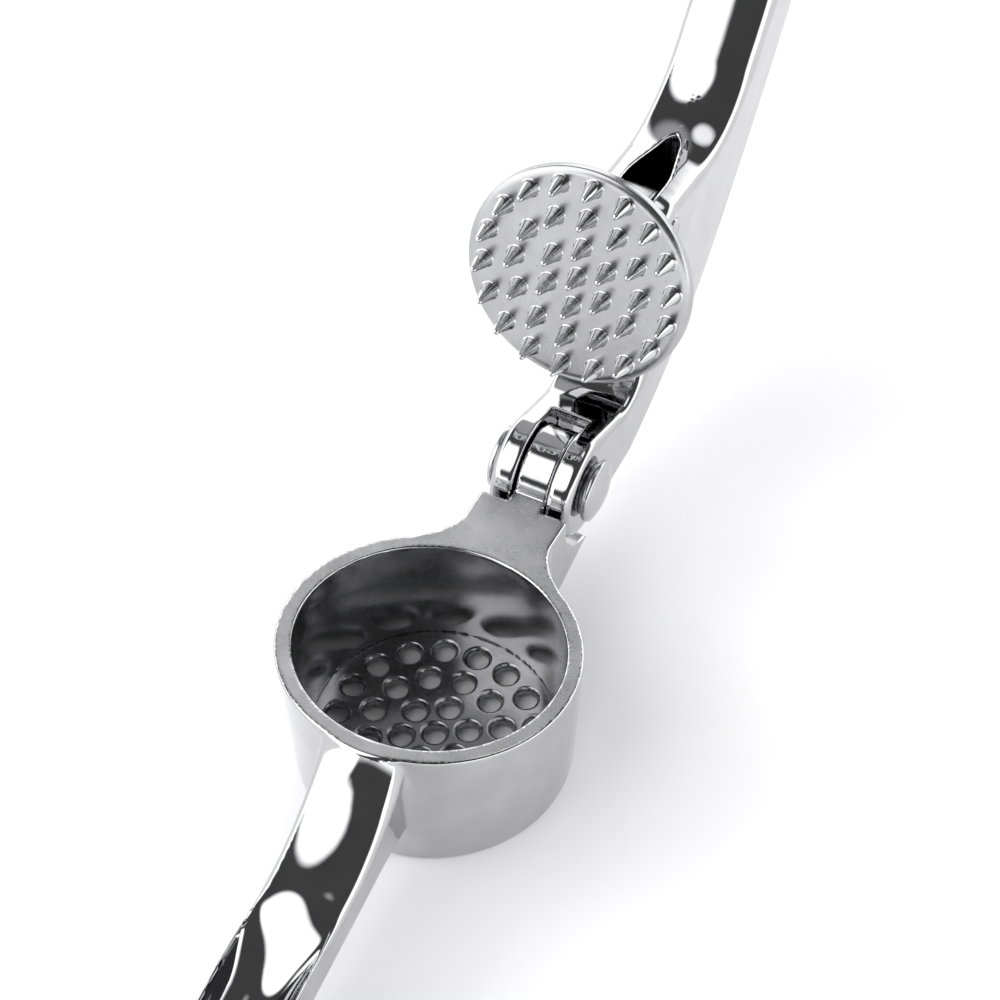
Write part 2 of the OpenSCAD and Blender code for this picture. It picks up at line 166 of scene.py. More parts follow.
def arc(centre, radius, start, end):
    return {"centre": centre, "radius": radius, "start": start, "end": end}


def polar(centre, radius, angle):
    """(y, z) on a circle, or its centre from a point on it where radius is negative.

    The angle counts from -Z towards +Y.
    """
    return centre[0] + radius * math.sin(angle), centre[1] - radius * math.cos(angle)


# ---------------------------------------------------------------- solids as signed distances

def union(a, b, r):
    """Union of two solids, with a hollow fillet of radius r where they meet."""
    return np.maximum(r, np.minimum(a, b)) - np.hypot(np.maximum(r - a, 0), np.maximum(r - b, 0))


def common(a, b, r):
    """What two solids share, with the edge between them rounded to radius r."""
    return np.minimum(-r, np.maximum(a, b)) + np.hypot(np.maximum(r + a, 0), np.maximum(r + b, 0))


def cut(a, b, r):
    """Solid a without solid b, with the edge rounded to radius r."""
    return common(a, -b, r)


def smooth(value, low, high):
    """0 below low, 1 above high, with a soft step between."""
    t = np.clip((value - low) / (high - low), 0, 1)
    return t * t * (3 - 2 * t)


def hollowed(x, top, growth):
    """Upper side of a handle with its trough, for growth from 0, no trough, to 1.

    The value of top is positive above the handle.
    """
    above = TROUGH_RADIUS - TROUGH_DEPTH
    half = np.sqrt(np.maximum(TROUGH_RADIUS ** 2 - x * x, above ** 2))
    steepness = np.where(half > above, growth * x / half, 0)
    return (top + growth * (half - above)) / np.sqrt(1 + steepness ** 2)


def lean(y, z):
    """(y, z) seen from the leaning axis of the cup."""
    return y * math.cos(CUP_LEAN) + z * math.sin(CUP_LEAN), z * math.cos(CUP_LEAN) - y * math.sin(CUP_LEAN)


def cup_wall(x, y, z):
    """Outside of the cup."""
    side, up = lean(y, z)
    return (np.hypot(x, side) - BASE_RADIUS - CUP_SLOPE * up) * math.cos(math.atan(CUP_SLOPE))


def bore(x, y, z):
    """Inside of the cup, with the sieve's seat and the outlet below it."""
    side, up = lean(y, z - SIEVE_TOP)
    cone = (np.hypot(x, side) - BORE_RADIUS - BORE_SLOPE * up) * math.cos(math.atan(BORE_SLOPE))
    upright = np.hypot(x, y)
    seat = np.maximum(upright - SIEVE_RADIUS, np.maximum(SIEVE_LOW - z, z - SIEVE_TOP))
    outlet = np.maximum(upright - OUTLET_RADIUS, z - SIEVE_TOP)
    return np.minimum(np.minimum(np.maximum(cone, SIEVE_TOP - BORE_OVERLAP - z), seat), outlet)


def rim_plane(y, z):
    """Height above the ground plane of rim and web."""
    return (y + MOUTH_SHIFT) * math.sin(RIM_TILT) + (z - CUP_HEIGHT) * math.cos(RIM_TILT)


LOWER_CENTRE = polar(LOWER_START, -LOWER_BOW, LOWER_START[2])
LOWER_TOP = LOWER_BOW - LOWER_HEIGHT
RAMP_JOIN_Y = LOWER_CENTRE[0] + LOWER_TOP * math.sin(RAMP_START)
RAMP_CENTRE = polar(LOWER_CENTRE, LOWER_TOP - RAMP_RADIUS, RAMP_START)


def rounded_tip(x, along, reach):
    """Sides of a handle, round in plan at its tip; along counts outwards and ends at reach."""
    past = np.maximum(along - reach + GRIP_HALF, 0)
    return np.hypot(x, past) - GRIP_HALF


def lower_grip(x, y, z):
    """Grip with its trough, and the crowned ramp from it up to the rim."""
    ring = np.hypot(y - LOWER_CENTRE[0], z - LOWER_CENTRE[1])
    growth = smooth(-y, *LOWER_GROWTH) * smooth(y - LOWER_TIP_Y, *LOWER_GROWTH_TIP)
    crown = CROWN * x * x * (1 - growth)
    top = hollowed(x, LOWER_TOP - ring + crown, growth)
    grip = common(rounded_tip(x, -y, -LOWER_TIP_Y), ring - LOWER_BOW, GRIP_EDGE)
    grip = common(grip, top, GRIP_EDGE - (GRIP_EDGE - TROUGH_EDGE) * growth)
    grip = np.maximum(grip, y - GRIP_END_Y)
    hollow = RAMP_RADIUS + crown - np.hypot(y - RAMP_CENTRE[0], z - RAMP_CENTRE[1])
    ramp = common(np.abs(x) - GRIP_HALF, hollow, GRIP_EDGE)
    ramp = np.maximum(ramp, np.maximum(RAMP_JOIN_Y - y, y - RAMP_END_Y))
    ramp = np.maximum(ramp, np.maximum(RAMP_LOW - z, z - RAMP_CENTRE[1]))
    return np.minimum(grip, ramp)


def tongue(x, y, z):
    """Plate of the hinge: a round end and the straight lines that lead to it."""
    line = (y - HINGE_Y) * math.sin(TONGUE_SLOPE) - (z - HINGE_Z) * math.cos(TONGUE_SLOPE) - TONGUE_RADIUS
    back = np.maximum(np.maximum(TONGUE_START - y, y - HINGE_Y), np.maximum(line, z - TONGUE_TOP))
    outline = np.minimum(np.hypot(y - HINGE_Y, z - HINGE_Z) - TONGUE_RADIUS, back)
    return common(outline, np.abs(x) - TONGUE_HALF, TONGUE_EDGE)


def lower_handle(x, y, z):
    """Casting of cup, grip, web and tongue."""
    wall = cup_wall(x, y, z)
    under = (WEB_UNDERSIDE - z) * math.cos(WEB_UNDERSIDE_TILT) + (y - WEB_END) * math.sin(WEB_UNDERSIDE_TILT)
    web = common(np.abs(x) - WEB_HALF, under, WEB_EDGE)
    web = np.maximum(web, np.maximum(y - WEB_Y[1], WEB_Y[0] - y))
    body = union(wall, web, WEB_CORNER)
    body = common(body, -z, BASE_EDGE)
    body = union(body, lower_grip(x, y, z), FILLET_LOW - (FILLET_LOW - FILLET_TOP) * smooth(z, *FILLET_Z))
    body = common(body, rim_plane(y, z), RIM_EDGE)
    ears = np.maximum(np.hypot(y - HINGE_Y, z - HINGE_Z) - SCALLOP_RADIUS, TONGUE_HALF - np.abs(x))
    body = cut(body, ears, TONGUE_EDGE)
    body = union(body, tongue(x, y, z), TONGUE_FILLET)
    body = cut(body, bore(x, y, z), MOUTH_EDGE)
    return cut(body, np.hypot(y - HINGE_Y, z - HINGE_Z) - HINGE_HOLE, LOWER_HOLE_EDGE)


BEND_CENTRE = polar(BEND_ORIGIN, -BEND_RADIUS, BEND_START)
BOW_ORIGIN = polar(BEND_CENTRE, BEND_RADIUS, BEND_END)
BOW_CENTRE = polar(BOW_ORIGIN, -BOW_RADIUS, BEND_END)
BOW_END = BEND_END + BOW_LENGTH / BOW_RADIUS
INNER_LEAN = (UPPER_HEIGHT - TIP_HEIGHT) / math.sin(BOW_END - INNER_START)
INNER_RADIUS = BOW_RADIUS - UPPER_HEIGHT
INNER_CENTRE = polar(BOW_CENTRE, INNER_LEAN, INNER_START + math.pi / 2)
TIP = polar(BOW_CENTRE, BOW_RADIUS, BOW_END)
# The saddle's arc runs on from the inner arc without a corner
SADDLE_RADIUS = INNER_RADIUS - math.hypot(SADDLE[0] - INNER_CENTRE[0], SADDLE[1] - INNER_CENTRE[1])
SADDLE_START = math.atan2(SADDLE[0] - INNER_CENTRE[0], INNER_CENTRE[1] - SADDLE[1])


def line_angle(a, a_radius, b, b_radius, side):
    """Angle on circle a where a straight line leaves it for circle b and touches that from the other side."""
    return math.atan2(b[0] - a[0], a[1] - b[1]) + side * math.acos((a_radius + b_radius) / math.dist(a, b))


HINGE, PIN = (HINGE_Y, HINGE_Z), (PIN_Y, PIN_Z)
CHEEK_START = line_angle(PIN, CHEEK_RADIUS, SADDLE, SADDLE_RADIUS, 1)
CHEEK_END = line_angle(PIN, CHEEK_RADIUS, THROAT, THROAT_RADIUS, -1) + 2 * math.pi
EAR_START = line_angle(HINGE, EAR_RADIUS, THROAT, THROAT_RADIUS, 1) - 2 * math.pi
# Round the upper handle's outline: ears, bend and bow of the back, inner side, saddle, cheek and throat
UPPER_ARCS = [
    arc(HINGE, EAR_RADIUS, EAR_START, EAR_END),
    arc(BEND_CENTRE, BEND_RADIUS, BEND_START, BEND_END),
    arc(BOW_CENTRE, BOW_RADIUS, BEND_END, BOW_END),
    arc(INNER_CENTRE, INNER_RADIUS, BOW_END, SADDLE_START),
    arc(SADDLE, SADDLE_RADIUS, SADDLE_START, CHEEK_START - math.pi),
    arc(PIN, CHEEK_RADIUS, CHEEK_START, CHEEK_END),
    arc(THROAT, THROAT_RADIUS, CHEEK_END - math.pi, EAR_START + math.pi),
]


def outline_points(arcs, turn=math.radians(2.5), reach=2.0):
    """Closed polygon along the arcs, fine enough to stand for them."""
    points = []
    for a in arcs:
        sweep = a["end"] - a["start"]
        steps = max(2, math.ceil(abs(sweep) / turn), math.ceil(abs(sweep) * a["radius"] / reach))
        points += [polar(a["centre"], a["radius"], a["start"] + sweep * k / steps) for k in range(steps + 1)]
    return np.array(points)


UPPER_POINTS = outline_points(UPPER_ARCS)


def segment_distance(y, z, a, b):
    """Distance from the straight line between a and b."""
    run, rise = b[0] - a[0], b[1] - a[1]
    along = np.clip(((y - a[0]) * run + (z - a[1]) * rise) / (run ** 2 + rise ** 2), 0, 1)
    return np.hypot(y - a[0] - along * run, z - a[1] - along * rise)


def arc_distance(y, z, a):
    """Distance from an arc."""
    angle = np.arctan2(y - a["centre"][0], a["centre"][1] - z)
    low, high = sorted((a["start"], a["end"]))
    middle = (low + high) / 2
    angle = middle + (angle - middle + math.pi) % (2 * math.pi) - math.pi
    angle = np.clip(angle, low, high)
    side, depth = a["radius"] * np.sin(angle), a["radius"] * np.cos(angle)
    return np.hypot(y - a["centre"][0] - side, z - a["centre"][1] + depth)


def within(y, z, points):
    """True inside a closed polygon."""
    y, z = np.broadcast_arrays(y, z)
    inside = np.zeros(y.shape, bool)
    for a, b in zip(points, np.roll(points, -1, axis=0)):
        if a[1] != b[1]:
            crosses = (a[1] > z) != (b[1] > z)
            inside ^= crosses & (y < a[0] + (z - a[1]) * (b[0] - a[0]) / (b[1] - a[1]))
    return inside


def upper_outline(y, z):
    """Signed distance from the outline: its arcs and the straight lines that join them."""
    distance = None
    for a, after in zip(UPPER_ARCS, UPPER_ARCS[1:] + UPPER_ARCS[:1]):
        start = polar(a["centre"], a["radius"], a["end"])
        end = polar(after["centre"], after["radius"], after["start"])
        near = np.minimum(arc_distance(y, z, a), segment_distance(y, z, start, end))
        distance = near if distance is None else np.minimum(distance, near)
    return np.where(within(y, z, UPPER_POINTS), -distance, distance)


def crown_weight(y, z):
    """1 on the upper handle's inner side, 0 on its back and round the hinge."""
    angle = np.arctan2(y - BEND_CENTRE[0], BEND_CENTRE[1] - z)
    bend = BEND_RADIUS - np.hypot(y - BEND_CENTRE[0], z - BEND_CENTRE[1])
    bow = BOW_RADIUS - np.hypot(y - BOW_CENTRE[0], z - BOW_CENTRE[1])
    above_back = smooth(np.where(angle < BEND_END, bend, bow), *CROWN_HEIGHTS)
    return above_back * smooth(np.hypot(y - HINGE_Y, z - HINGE_Z), *CROWN_DISTANCES)


def upper_pocket(x, y, z):
    """Pocket for the plunger's stem, open towards the inner side."""
    half = POCKET_HALF - (POCKET_HALF - POCKET_TOP_HALF) * smooth(y, POCKET_TAPER_Y, POCKET_Y[1])
    bottom = np.hypot(y - BEND_CENTRE[0], z - BEND_CENTRE[1]) - BEND_RADIUS + POCKET_WALL
    pocket = common(np.abs(x) - half, bottom, POCKET_CORNER)
    return common(pocket, np.maximum(POCKET_Y[0] - y, y - POCKET_Y[1]), POCKET_END_CORNER)


def upper_handle(x, y, z):
    """Casting of ears, bend and bow, with its trough."""
    along = (y - TIP[0]) * math.cos(BOW_END) + (z - TIP[1]) * math.sin(BOW_END)
    growth = smooth(np.arctan2(y - INNER_CENTRE[0], INNER_CENTRE[1] - z), *UPPER_GROWTH)
    crown = CROWN * x * x * (1 - growth) * crown_weight(y, z)
    tip_edge = TIP_EDGES[0] + (TIP_EDGES[1] - TIP_EDGES[0]) * smooth(along, *TIP_EDGE_SPAN)
    edge = np.maximum(GRIP_EDGE - (GRIP_EDGE - TROUGH_EDGE) * growth, tip_edge)
    body = common(upper_outline(y, z) + crown, rounded_tip(x, along, 0.0), edge)
    top = INNER_RADIUS - np.hypot(y - INNER_CENTRE[0], z - INNER_CENTRE[1]) + crown
    body = common(body, np.where(growth > 0, hollowed(x, top, growth), FAR_INSIDE), TROUGH_EDGE * growth)
    body = cut(body, upper_pocket(x, y, z), POCKET_EDGE)
    from_hinge = np.hypot(y - HINGE_Y, z - HINGE_Z)
    body = cut(body, np.maximum(from_hinge - FORK_RADIUS, np.abs(x) - FORK_HALF), TONGUE_EDGE)
    body = cut(body, from_hinge - RIVET_RADIUS, UPPER_HOLE_EDGE)
    return cut(body, np.hypot(y - PIN_Y, z - PIN_Z) - PLUNGER_PIN, UPPER_HOLE_EDGE)


def stem(x, y, z):
    """Plunger's stem with its eye round the pin, closed pose, pin at the origin."""
    shank = np.maximum(np.abs(y) - EYE_RADIUS, np.maximum(z, DISC_THICKNESS - STEM_OVERLAP - STEM_LENGTH - z))
    side = common(np.minimum(np.hypot(y, z) - EYE_RADIUS, shank), np.abs(x) - STEM_HALF, STEM_EDGE)
    foot = STEM_LENGTH - DISC_THICKNESS + z
    hub = HUB_RADIUS + (EYE_RADIUS - HUB_RADIUS) * foot / HUB_HEIGHT
    ends = np.maximum(foot - HUB_HEIGHT, -STEM_OVERLAP - foot)
    cone = np.maximum((np.hypot(x, y) - hub) * HUB_FACTOR, ends)
    eye = np.hypot(y, z) - PLUNGER_PIN - EYE_CLEARANCE
    return cut(union(side, cone, HUB_FILLET), eye, EYE_EDGE)


def pattern():
    """(x, y) of every hole or stud."""
    for ring, (count, first) in enumerate(zip(RING_COUNTS, RING_ANGLES)):
        for k in range(count):
            angle = math.radians(first + k * 360 / count)
            yield ring * RING_PITCH * math.cos(angle), ring * RING_PITCH * math.sin(angle)


def sieve(x, y, z):
    """Plate with countersunk holes."""
    ends = np.maximum(z - SIEVE_TOP, SIEVE_LOW - z)
    plate = common(np.hypot(x, y) - SIEVE_RADIUS, ends, SIEVE_EDGE)
    nearest = None
    for hole_x, hole_y in pattern():
        distance = np.hypot(x - hole_x, y - hole_y)
        nearest = distance if nearest is None else np.minimum(nearest, distance)
    bored = nearest - HOLE_RADIUS
    hole = np.minimum(bored, (bored - (z - SIEVE_TOP + COUNTERSINK)) * COUNTERSINK_FACTOR)
    return cut(plate, hole, HOLE_EDGE)


# ---------------------------------------------------------------- solids to meshes

def slope(solid, points, step=0.02):
    """Unit normals of a solid at points, and its values there."""
    value = solid(*points.T)
    gradient = [solid(*(points + step * axis).T) - solid(*(points - step * axis).T) for axis in np.eye(3)]
    gradient = np.stack(gradient, axis=1)
    return value, gradient / np.maximum(np.linalg.norm(gradient, axis=1), 1e-9)[:, None]


# Grid lines kept outside a solid's box, in steps
GRID_MARGIN = 1.6
# Weight that pulls a vertex to the middle of its crossings, which matters where those are flat
FLAT_PULL = 0.02
# How often each vertex is moved onto the surface, and how far at most, in steps
SETTLE_PASSES, SETTLE_REACH = 2, 0.3


def skin(solid, low, high, step):
    """Quads over the surface of a solid, with vertices on its edges, and the surface's normals."""
    margin = GRID_MARGIN * step
    axes = [np.arange(a - margin, b + margin + step, step) for a, b in zip(low, high)]
    shape = tuple(len(a) for a in axes)
    value = np.empty(shape, np.float32)
    value[:] = solid(axes[0][:, None, None], axes[1][None, :, None], axes[2][None, None, :])
    inside = value < 0
    count = np.zeros([n - 1 for n in shape], np.int8)
    for corner in np.ndindex(2, 2, 2):
        count += inside[tuple(slice(c, c + n - 1) for c, n in zip(corner, shape))]
    active = (count > 0) & (count < 8)
    cells = np.argwhere(active)
    number = np.full(active.shape, -1, np.int32)
    number[active] = np.arange(len(cells))
    origin = np.array([a[0] for a in axes])
    # Where the surface crosses the grid's lines, each with its normal, and the four cells round it
    total = np.zeros((len(cells), 3))
    weight = np.zeros(len(cells))
    matrix = np.zeros((len(cells), 3, 3))
    right = np.zeros((len(cells), 3))
    quads = []
    one = np.eye(3, dtype=int)
    sides = ((1, 1), (0, 1), (0, 0), (1, 0))
    for axis in range(3):
        u, v = (axis + 1) % 3, (axis + 2) % 3
        first = [slice(None)] * 3
        second = [slice(None)] * 3
        first[axis], second[axis] = slice(0, -1), slice(1, None)
        change = np.argwhere(inside[tuple(first)] != inside[tuple(second)])
        a = value[tuple(change.T)].astype(float)
        b = value[tuple((change + one[axis]).T)].astype(float)
        points = origin + (change + one[axis] * (a / (a - b))[:, None]) * step
        normals = slope(solid, points)[1]
        around = [number[tuple((change - du * one[u] - dv * one[v]).T)] for du, dv in sides]
        for cell in around:
            np.add.at(total, cell, points)
            np.add.at(weight, cell, 1)
            np.add.at(matrix, cell, normals[:, :, None] * normals[:, None, :])
            np.add.at(right, cell, normals * (normals * points).sum(1)[:, None])
        quad = np.stack(around, axis=1)
        outwards = a < b
        quads.append(np.where(outwards[:, None], quad, quad[:, ::-1]))
    # Vertices lie where the planes at a cell's crossings meet, or near their middle where those are flat
    middle = total / weight[:, None]
    pull = FLAT_PULL * weight[:, None, None] * np.eye(3)
    right += (pull @ middle[:, :, None])[:, :, 0]
    vertices = np.linalg.solve(matrix + pull, right[:, :, None])[:, :, 0]
    centre = origin + (cells + 0.5) * step
    vertices = np.clip(vertices, centre - 0.5 * step, centre + 0.5 * step)
    for _ in range(SETTLE_PASSES):
        gap, normals = slope(solid, vertices)
        vertices -= normals * np.clip(gap, -SETTLE_REACH * step, SETTLE_REACH * step)[:, None]
    return vertices, np.concatenate(quads), slope(solid, vertices)[1]


def new_object(name, mesh, body, material, nodes=()):
    """Links a mesh as a piece that rides on a body and stands for CAD nodes."""
    piece = bpy.data.objects.new(name, mesh)
    bpy.context.scene.collection.objects.link(piece)
    mesh.materials.append(material)
    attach(piece, body)
    if nodes:
        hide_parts(*nodes)
    return piece


def mesh_from(name, vertices, faces, normals):
    """Smooth mesh with the normals given for its vertices."""
    mesh = bpy.data.meshes.new(name)
    mesh.from_pydata((np.asarray(vertices) * MM).tolist(), [], np.asarray(faces).tolist())
    mesh.validate()
    mesh.polygons.foreach_set("use_smooth", [True] * len(mesh.polygons))
    mesh.normals_split_custom_set_from_vertices(np.asarray(normals).tolist())
    return mesh


def grid_step(step):
    """The step as given, unchanged."""
    return step * 1


def skinned(name, solid, low, high, step):
    """Mesh of a solid within its box."""
    return mesh_from(name, *skin(solid, low, high, grid_step(step)))


# How near a face lies to the ground plane and how well it faces along it, and how near to the bore
GROUND_REACH, GROUND_FACING, BORE_REACH = 0.2, 0.96, 0.3


def lower_finishes(mesh, bore_material, ground_material):
    """Gives the bore and the ground top of rim and web their own finish."""
    values = np.empty(3 * len(mesh.polygons))
    mesh.polygons.foreach_get("center", values)
    x, y, z = values.reshape(-1, 3).T / MM
    mesh.polygons.foreach_get("normal", values)
    facing = values.reshape(-1, 3) @ (0, math.sin(RIM_TILT), math.cos(RIM_TILT))
    ground = (np.abs(rim_plane(y, z)) < GROUND_REACH) & (facing > GROUND_FACING)
    inside = (np.abs(bore(x, y, z)) < BORE_REACH) & (z > SIEVE_TOP - BORE_REACH) & ~ground
    mesh.materials.append(bore_material)
    mesh.materials.append(ground_material)
    mesh.polygons.foreach_set("material_index", np.where(ground, 2, np.where(inside, 1, 0)).tolist())


# ---------------------------------------------------------------- lathed parts

def corner_arc(centre, radius, start, end, steps):
    """Points of a round corner in a lathe profile, as (radius, height); angles in degrees."""
    angles = [math.radians(start + (end - start) * k / steps) for k in range(steps + 1)]
    return [(centre[0] + radius * math.cos(a), centre[1] + radius * math.sin(a)) for a in angles]


def lathe(profile, segments, place, mesh=None):
    """Turns a profile of (radius, height), from axis to axis, about +Z and adds it to a bmesh."""
    mesh = mesh or bmesh.new()
    rings = []
    for radius, height in profile:
        count = 1 if radius < 1e-6 else segments
        turns = [2 * math.pi * k / segments for k in range(count)]
        points = [Vector((radius * math.cos(t), radius * math.sin(t), height)) for t in turns]
        rings.append([mesh.verts.new(place @ point) for point in points])
    for low, high in zip(rings, rings[1:]):
        for k in range(segments):
            n = (k + 1) % segments
            corners = [low[k % len(low)], low[n % len(low)], high[n % len(high)], high[k % len(high)]]
            corners = [v for i, v in enumerate(corners) if v not in corners[:i]]
            if len(corners) > 2:
                mesh.faces.new(corners)
    return mesh


def finish_bmesh(name, built, sharp_degrees=50):
    """Mesh of a bmesh, smooth except at edges sharper than sharp_degrees."""
    for face in built.faces:
        face.smooth = True
    for edge in built.edges:
        if len(edge.link_faces) == 2 and edge.calc_face_angle(0) > math.radians(sharp_degrees):
            edge.smooth = False
    bmesh.ops.recalc_face_normals(built, faces=built.faces)
    for vertex in built.verts:
        vertex.co *= MM
    mesh = bpy.data.meshes.new(name)
    built.to_mesh(mesh)
    built.free()
    return mesh


def disc_profile():
    """Disc with a flat face, a soft front edge and a rounded rim; the face is at height 0."""
    flat = DISC_RADIUS - DISC_EDGE
    turns = np.linspace(0, math.pi / 2, 9)
    swell = [(flat + DISC_EDGE * math.sin(t), DISC_EDGE_DEPTH * (1 - math.cos(t))) for t in turns]
    back = (DISC_RADIUS - DISC_BACK_EDGE, DISC_THICKNESS - DISC_BACK_EDGE)
    rim = corner_arc(back, DISC_BACK_EDGE, 0, 90, 4)
    face = [(0, 0), (flat * 0.5, 0), (flat - DISC_FACE_RING, 0)]
    return face + swell + rim + [(HUB_RADIUS, DISC_THICKNESS), (0, DISC_THICKNESS)]


def stud_profile():
    """Cone with a hollow foot and a round tip, from its buried end to the tip."""
    wide = STUD_FOOT + STUD_FILLET
    foot = [(0, STUD_BURIED), (wide, STUD_BURIED), (wide, 0.0)]
    turns = np.linspace(FILLET_START, math.pi / 2, 4)
    hollow = [(wide - STUD_FILLET * math.sin(t), -STUD_FILLET * (1 - math.cos(t))) for t in turns]
    ball = STUD_HEIGHT - STUD_TIP
    lean_angle = math.atan((STUD_FOOT - STUD_TIP) / ball)
    turns = np.linspace(lean_angle, math.pi / 2, 8)
    tip = [(STUD_TIP * math.cos(t), -ball - STUD_TIP * math.sin(t)) for t in turns]
    tip[-1] = (0, -STUD_HEIGHT)
    return foot + hollow + tip


def plunger_place():
    """Closed pose about the pin, swung to the stored pose."""
    return Matrix.Translation((0, PIN_Y, PIN_Z)) @ Matrix.Rotation(-PLUNGER_SWING, 4, "X")


def make_plunger(material, stud_material):
    """Disc, studs and stem."""
    place = plunger_place()
    face = place @ Matrix.Translation((0, 0, -STEM_LENGTH))
    mesh = finish_bmesh("plunger_disc", lathe(disc_profile(), DISC_SEGMENTS, face), 60)
    new_object("plunger_disc", mesh, "ram", material)
    studs = bmesh.new()
    for x, y in pattern():
        lathe(stud_profile(), STUD_SEGMENTS, face @ Matrix.Translation((x, y, 0)), studs)
    mesh = finish_bmesh("plunger_studs", studs, 60)
    new_object("plunger_studs", mesh, "ram", stud_material)
    # Box of the stem, whose foot ends inside the disc
    reach = HUB_RADIUS + 0.2
    low, high = (-reach, -reach, -STEM_LENGTH + 1), (reach, reach, EYE_RADIUS)
    vertices, quads, normals = skin(stem, low, high, grid_step(STEM_STEP))
    turn = np.array(place.to_3x3())
    vertices = vertices @ turn.T + np.array(place.translation)
    mesh = mesh_from("plunger_stem", vertices, quads, normals @ turn.T)
    new_object("plunger_stem", mesh, "ram", material, ["plunger"])


def head_profile():
    """Domed head with a soft rim, seat at height 0."""
    dome = (HEAD_RADIUS ** 2 + DOME_HEIGHT ** 2) / (2 * DOME_HEIGHT)
    side = HEAD_THICKNESS - DOME_HEIGHT
    turns = np.linspace(math.asin((HEAD_RADIUS - DOME_INSET) / dome), 0, 14)
    top = [(dome * math.sin(t), HEAD_THICKNESS - dome + dome * math.cos(t)) for t in turns]
    top[-1] = (0, HEAD_THICKNESS)
    rim = [(0, 0), (HEAD_RADIUS - HEAD_EDGE, 0), (HEAD_RADIUS, HEAD_EDGE)]
    shoulder = [(HEAD_RADIUS + radius, side + height) for radius, height in HEAD_SHOULDER]
    return rim + shoulder + top


def along_x(x, flip=False):
    """Places a lathe's +Z along +X, or along -X, on the hinge's axis."""
    turn = Matrix.Rotation(math.radians(-90 if flip else 90), 4, "Y")
    return Matrix.Translation((x, HINGE_Y, HINGE_Z)) @ turn


def rod(radius, start, end, chamfer):
    """Profile of a straight pin or collar."""
    foot = [(0, start), (radius - chamfer, start), (radius, start + chamfer)]
    return foot + [(radius, end - chamfer), (radius - chamfer, end), (0, end)]


def make_hinge(head, washer, pin):
    """Rivet with its two heads, the collars under them and the plunger's axle."""
    seat = GRIP_HALF + WASHER_THICKNESS
    left = lathe(head_profile(), HEAD_SEGMENTS, along_x(-seat, True))
    lathe(rod(RIVET_RADIUS, 0, 2 * seat, ROD_CHAMFER), ROD_SEGMENTS, along_x(-seat), left)
    mesh = finish_bmesh("hinge_rivet", left)
    new_object("hinge_rivet", mesh, "lever", head, ["hinge_pin"])
    right = lathe(head_profile(), HEAD_SEGMENTS, along_x(seat))
    mesh = finish_bmesh("hinge_rivet_cap", right)
    new_object("hinge_rivet_cap", mesh, "lever", head, ["hinge_pin_cap"])
    for name, place in (("left", along_x(-GRIP_HALF, True)), ("right", along_x(GRIP_HALF))):
        built = lathe(rod(WASHER_RADIUS, 0, WASHER_THICKNESS, ROD_CHAMFER), HEAD_SEGMENTS, place)
        mesh = finish_bmesh("collar_" + name, built)
        new_object("collar_" + name, mesh, "lever", washer, ["hinge_washer_" + name])
    reach = GRIP_HALF + AXLE_PROUD
    axle = Matrix.Translation((0, PIN_Y, PIN_Z)) @ Matrix.Rotation(math.radians(90), 4, "Y")
    built = lathe(rod(PLUNGER_PIN, -reach, reach, AXLE_CHAMFER), ROD_SEGMENTS, axle)
    mesh = finish_bmesh("plunger_axle", built)
    new_object("plunger_axle", mesh, "lever", pin, ["plunger_pin"])


# ---------------------------------------------------------------- materials

class Nodes:
    """Small helper to build a material's or the world's nodes."""

    def __init__(self, tree):
        self.tree = tree

    def add(self, kind, **settings):
        node = self.tree.nodes.new("ShaderNode" + kind)
        for key, value in settings.items():
            setattr(node, key, value)
        return node

    def link(self, source, target):
        if isinstance(source, (int, float, tuple)):
            target.default_value = source
        else:
            self.tree.links.new(source, target)

    def math(self, operation, a, b):
        node = self.add("Math", operation=operation)
        self.link(a, node.inputs[0])
        self.link(b, node.inputs[1])
        return node.outputs[0]

    def noise(self, scale, detail, roughness, stretch=None):
        coordinates = self.add("TexCoord").outputs["Object"]
        if stretch:
            mapping = self.add("Mapping")
            mapping.inputs["Scale"].default_value = stretch
            self.link(coordinates, mapping.inputs["Vector"])
            coordinates = mapping.outputs[0]
        node = self.add("TexNoise")
        self.link(coordinates, node.inputs["Vector"])
        node.inputs["Scale"].default_value = scale
        node.inputs["Detail"].default_value = detail
        node.inputs["Roughness"].default_value = roughness
        return node.outputs["Fac"]

    def spread(self, value, low, high, to_low, to_high):
        """A soft step: to_low where the value is low, to_high where it is high."""
        node = self.add("MapRange", interpolation_type="SMOOTHSTEP")
        for source, socket in zip((value, low, high, to_low, to_high), node.inputs):
            self.link(source, socket)
        return node.outputs[0]

    def ramp(self, value, *stops):
        node = self.add("ValToRGB")
        while len(node.color_ramp.elements) < len(stops):
            node.color_ramp.elements.new(0.5)
        for element, (position, colour) in zip(node.color_ramp.elements, stops):
            element.position = position
            element.color = (*colour, 1)
        self.link(value, node.inputs[0])
        return node.outputs[0]


# Noise (scale, detail, roughness) of a metal's slow clouds and of its fine grain
CLOUDS, GRAIN = (220, 4, 0.55), (1500, 3, 0.6)
# Noise (detail, roughness) of its waves and of its pits
WAVES, PITS = (1, 0.4), (2, 0.5)
# Range of a noise's values that spans a material's two states
NOISE_RANGE = (0.35, 0.65)


